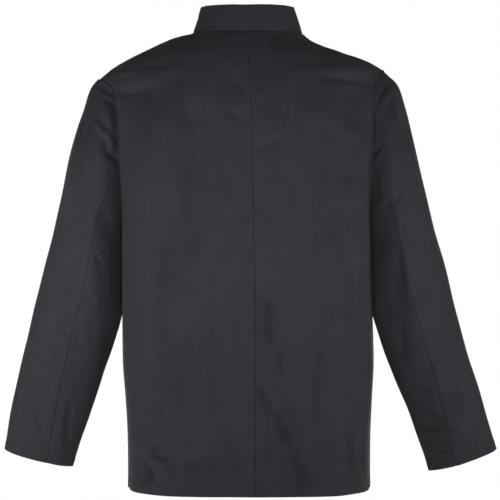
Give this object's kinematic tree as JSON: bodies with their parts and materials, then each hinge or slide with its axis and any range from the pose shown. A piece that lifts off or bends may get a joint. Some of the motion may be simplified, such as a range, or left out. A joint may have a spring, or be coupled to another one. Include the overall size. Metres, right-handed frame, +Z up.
{
  "type": "chef jacket",
  "caption": "Long-sleeved double-breasted chef jacket in black twill, in worn form and hollow, with a stand collar, a centre back seam, two-piece sleeves and round plastic buttons.",
  "frame": {"origin": "middle of the neck opening, level with the points where the shoulder seams meet the collar", "axes": "+Z up, +X to the wearer's left, +Y to the wearer's back, so the front faces -Y"},
  "size_m": [0.8144, 0.2946, 0.7914],
  "materials": {
    "black_twill": "matt polyester and cotton twill",
    "black_plastic": "smooth, slightly shiny"
  },
  "bodies": {
    "root": {"back_left": "black_twill", "back_right": "black_twill", "front_left": "black_twill", "front_right": "black_twill", "sleeve_left_upper": "black_twill", "sleeve_left_under": "black_twill", "sleeve_right_upper": "black_twill", "sleeve_right_under": "black_twill", "collar": "black_twill", "button_left_1": "black_plastic", "button_left_2": "black_plastic", "button_left_3": "black_plastic", "button_left_4": "black_plastic", "button_left_5": "black_plastic", "button_right_1": "black_plastic", "button_right_2": "black_plastic", "button_right_3": "black_plastic", "button_right_4": "black_plastic", "button_right_5": "black_plastic"}
  },
  "joints": []
}
